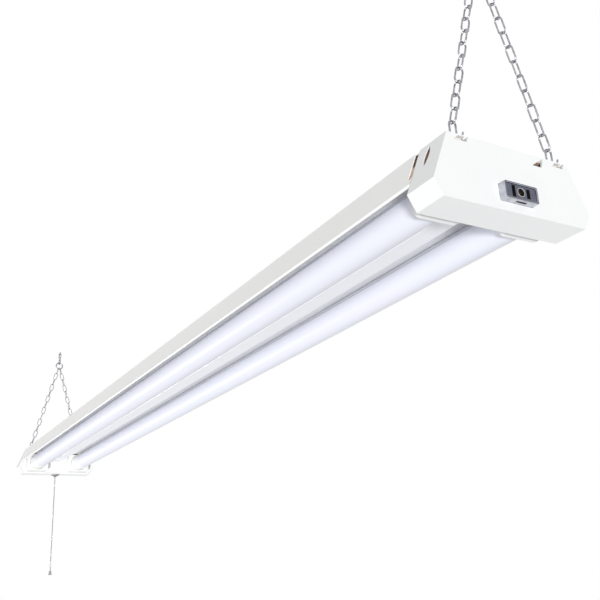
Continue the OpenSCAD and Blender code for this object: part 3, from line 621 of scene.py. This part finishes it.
def make_bails():
    bm = bmesh.new()
    foot_z = top_z - BAIL_FOOT_DEPTH
    x_axis, y_axis, z_axis = Vector((1, 0, 0)), Vector((0, 1, 0)), Vector((0, 0, 1))
    for end in (-1, 1):
        for side in (-1, 1):
            base = Vector((end * bail_x, side * BAIL_Y, 0))
            left = base - y_axis * BAIL_RADIUS + z_axis * (foot_z + BAIL_CORNER)
            right = base + y_axis * BAIL_RADIUS + z_axis * (foot_z + BAIL_CORNER)
            foot_left = arc_points(left - y_axis * BAIL_CORNER, y_axis, z_axis, BAIL_CORNER, -90, 0, 5)
            foot_right = arc_points(right + y_axis * BAIL_CORNER, -y_axis, z_axis, BAIL_CORNER, 0, -90, 5)
            top = arc_points(base + z_axis * (top_z + BAIL_RISE), -y_axis, z_axis, BAIL_RADIUS, 0, 180, 20)
            outer_left = base - y_axis * (BAIL_RADIUS + BAIL_FOOT) + z_axis * foot_z
            outer_right = base + y_axis * (BAIL_RADIUS + BAIL_FOOT) + z_axis * foot_z
            turned_up = [outer_right + BAIL_TIP * part for part in (0.06, 0.5)] + [outer_right + BAIL_TIP]
            path = [outer_left] + foot_left + top + foot_right + [outer_right - y_axis * 0.4 * MM] + turned_up
            bar(bm, path, BAIL_WIRE / 2, sides=14, side=x_axis)
    made = piece(bm, "hanging_bails_wire", node_body["hanging_bails"], node_slot["hanging_bails"])
    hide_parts("hanging_bails")


def rounded_ends(count, radius):
    """A wire's radius along an open path whose cut ends are rounded off."""
    return lambda i: radius * (0.72 if i in (0, count - 1) else 1.0)


def make_hooks():
    x_axis, y_axis, z_axis = Vector((1, 0, 0)), Vector((0, 1, 0)), Vector((0, 0, 1))
    for name, end in (("outlet", 1), ("switch", -1)):
        ring = bmesh.new()
        centre = Vector((end * bail_x, 0, ring_centre.z))
        path = arc_points(centre, y_axis, z_axis, RING_RADIUS, 0, 360 - 360 / RING_POINTS, RING_POINTS - 1)
        bar(ring, path, welded(HOOK_WIRE, RING_WELD), closed=True, sides=18, side=x_axis)
        made = piece(ring, f"ring_{name}_wire", "rings", "zinc_steel")
        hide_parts(f"ring_{name}")
        hook = bmesh.new()
        low = centre + z_axis * (RING_RADIUS - HOOK_WIRE - HOOK_SLIP + HOOK_LOW_RADIUS)
        high = low + z_axis * (HOOK_LOW_RADIUS + HOOK_HIGH_RADIUS)
        path = arc_points(low, x_axis * end, z_axis, HOOK_LOW_RADIUS, *HOOK_LOW_TURN, 40)
        path += arc_points(high, x_axis * end, z_axis, HOOK_HIGH_RADIUS, *HOOK_HIGH_TURN, 40)[1:]
        bar(hook, path, rounded_ends(len(path), HOOK_WIRE / 2), sides=18, side=y_axis)
        made = piece(hook, f"hook_{name}_wire", "hooks", "zinc_steel")
        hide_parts(f"hook_{name}")


for chain, chain_end, chain_side in (("chain_outlet_left", 1, -1), ("chain_outlet_right", 1, 1),
                                     ("chain_switch_left", -1, -1), ("chain_switch_right", -1, 1)):
    make_chain(chain, chain_end, chain_side)
make_bails()
make_hooks()


# ---- pull switch ----

BEAD_RADIUS = 1.2 * MM
BEAD_PITCH = 3.2 * MM
BEADS = 50
BEAD_WIRE = 0.9 * MM
BELL_PROFILE = (
    (0, 0.06), (0.72, 0.02), (0.9, 0), (1.0, 0.03), (1.0, 0.09), (0.92, 0.13), (0.8, 0.26), (0.73, 0.42),
    (0.68, 0.62), (0.6, 0.76), (0.46, 0.86), (0.4, 0.9), (0.42, 0.95), (0.38, 1.0), (0, 1.0),
)
NIPPLE_BORE = 2.2 * MM
THREAD_PITCH = 0.9 * MM
THREAD_DEPTH = 0.28 * MM
bead_low, bead_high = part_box("pull_bead")
swivel = (bead_low + bead_high) / 2


def add_bead(bm, centre):
    """A hollow bead: a ball with a small drawn-in hole at its top and bottom."""
    profile = [(0, -0.82)]
    profile += [(math.sin(t), -math.cos(t)) for t in [math.radians(24 + 12 * k) for k in range(12)]]
    profile += [(0, 0.82)]
    lathe(bm, [(r * BEAD_RADIUS, z * BEAD_RADIUS) for r, z in profile], centre, sides=20)


def make_pull_chain():
    bead = bmesh.new()
    add_bead(bead, swivel)
    made = piece(bead, "swivel_bead", node_body["pull_bead"], "nickel", smooth_angle=50)
    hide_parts("pull_bead")
    chain = bmesh.new()
    first = swivel - Vector((0, 0, BEAD_PITCH))
    for k in range(BEADS):
        add_bead(chain, first - Vector((0, 0, k * BEAD_PITCH)))
    for k in range(BEADS - 1):
        bar(chain, [first - Vector((0, 0, (k + part) * BEAD_PITCH)) for part in (0.3, 0.5, 0.7)],
            BEAD_WIRE / 2, sides=10)
    top_wire = [first + Vector((0, 0, BEAD_RADIUS * part)) for part in (1.25, 0.9, 0.8)]
    bar(chain, top_wire, BEAD_WIRE / 2, sides=10)
    made = piece(chain, "bead_chain", node_body["pull_chain"], "nickel", smooth_angle=50)
    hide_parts("pull_chain")
    bell_low, bell_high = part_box("pull_bell")
    tall = bell_high.z - bell_low.z
    wide = (bell_high.x - bell_low.x) / 2
    bell = bmesh.new()
    lathe(bell, [(r * wide, z * tall) for r, z in BELL_PROFILE], Vector((swivel.x, 0, bell_low.z)), sides=40)
    made = piece(bell, "bell", node_body["pull_bell"], "nickel", smooth_angle=60)
    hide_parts("pull_bell")


def make_nipple():
    low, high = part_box("switch_nipple")
    centre = Vector((swivel.x, 0, low.z))
    tall = high.z - low.z
    radius = (high.x - low.x) / 2
    root = radius - THREAD_DEPTH
    turns = int((tall - 1.4 * MM) / THREAD_PITCH)
    profile = [(NIPPLE_BORE, tall), (NIPPLE_BORE, 1.6 * MM), (NIPPLE_BORE + 1.3 * MM, 0),
               (radius - 0.7 * MM, 0), (root, 0.6 * MM)]
    for k in range(turns):
        base = 0.9 * MM + k * THREAD_PITCH
        profile += [(root, base), (radius, base + THREAD_PITCH * 0.35), (radius, base + THREAD_PITCH * 0.5)]
    profile += [(root, tall - 0.2 * MM), (root, tall), (NIPPLE_BORE, tall)]
    bm = bmesh.new()
    lathe(bm, profile, centre, sides=48)
    bmesh.ops.remove_doubles(bm, verts=bm.verts, dist=1e-7)
    made = piece(bm, "threaded_nipple", "fixture", "nickel", smooth_angle=25)
    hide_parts("switch_nipple")


make_pull_chain()
make_nipple()
refined("switch_nut", 0.35 * MM, segments=3)
refined("switch_case", 0.5 * MM, segments=3)


# ---- link outlet and cord inlet ----

outlet_low, outlet_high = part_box("outlet_frame")
face_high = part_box("outlet_face")[1]
OUTLET_CENTRE = Vector((face_high.x, 0, (outlet_low.z + outlet_high.z) / 2))
GROUND_RADIUS = 2.8 * MM


def frame_shade_and_highlight(face):
    """0 for the silver sides of the outlet's frame and its rounded edges, where the silver draws painted highlight
    lines; 1 for its front, a darker copy of the silver as painted shade.
    """
    return 1 if face.normal.x > 0.98 and face.calc_center_median().x > half_length + 1 * MM else 0


def face_and_painted_hole_shade(face):
    """0 for the outlet's face, 1 for the walls and floors of its holes, painted near black as shade."""
    on_front = face.normal.x > 0.5 and face.calc_center_median().x > face_high.x - 0.5 * MM
    return 0 if on_front else 1


def make_outlet():
    # The frame's front gets a darker painted-shade copy of its silver; its rounded edges stay silver as painted
    # highlight lines.
    refined("outlet_frame", 0.3 * MM, segments=3, finishes=["outlet_silver", "outlet_front_painted_shade"], paint=frame_shade_and_highlight)
    refined("outlet_face", 0.12 * MM, segments=2, finishes=["outlet_grey", "outlet_hole_painted_shade"], paint=face_and_painted_hole_shade)
    # A raised rim round the ground hole, coloured pale as a painted highlight on its edge.
    rim = bmesh.new()
    inner, outer, proud = GROUND_RADIUS + 0.05 * MM, GROUND_RADIUS + 0.45 * MM, 0.25 * MM
    profile = [(inner, -0.1 * MM), (inner, proud * 0.6), (inner + 0.12 * MM, proud), (outer - 0.12 * MM, proud),
               (outer, proud * 0.5), (outer, -0.1 * MM), (inner, -0.1 * MM)]
    lathe(rim, profile, OUTLET_CENTRE, axis=Vector((1, 0, 0)), sides=48)
    bmesh.ops.remove_doubles(rim, verts=rim.verts, dist=1e-7)
    piece(rim, "outlet_hole_rim", "fixture", "outlet_grey", finishes=["outlet_rim_painted_highlight"])


make_outlet()
refined("cord_bushing", 0.5 * MM, segments=3, least_angle=40)
refined("bushing_nut", 0.4 * MM, segments=2, least_angle=40)


# ---- finish of the CAD parts that stay ----

def finish_the_rest():
    """Paints the CAD pieces that no new piece stands in for."""
    for name, node in nodes.items():
        if node.hide_render:
            continue
        node.data.materials.clear()
        node.data.materials.append(FINISHES[node_slot[name]])


finish_the_rest()


# ---- stage ----

# Name, direction towards the lamp, width in degrees, strength. Key, fill and rim come from below and slope alike
# in y and z, so that light gets in between the housing's lip and the tubes.
LAMPS = (
    ("key", (0.82, -0.46, -0.361), 8, 2.5),
    ("fill", (-0.1, -0.785, -0.616), 8, 0.5),
    ("rim", (-0.9, -0.34, -0.265), 8, 0.3),
    ("top", (-0.2, 0.4, 0.9), 40, 0.7),
)
WORLD_STRENGTH = 0.38
FLOOR_DROP = 0.9
FLOOR_RADIUS = 3.0

add_camera()
add_world(WORLD_STRENGTH)
for lamp in LAMPS:
    add_far_lamp(*lamp)
add_floor(FLOOR_DROP, FLOOR_RADIUS)
bpy.context.scene.view_settings.view_transform = "Standard"
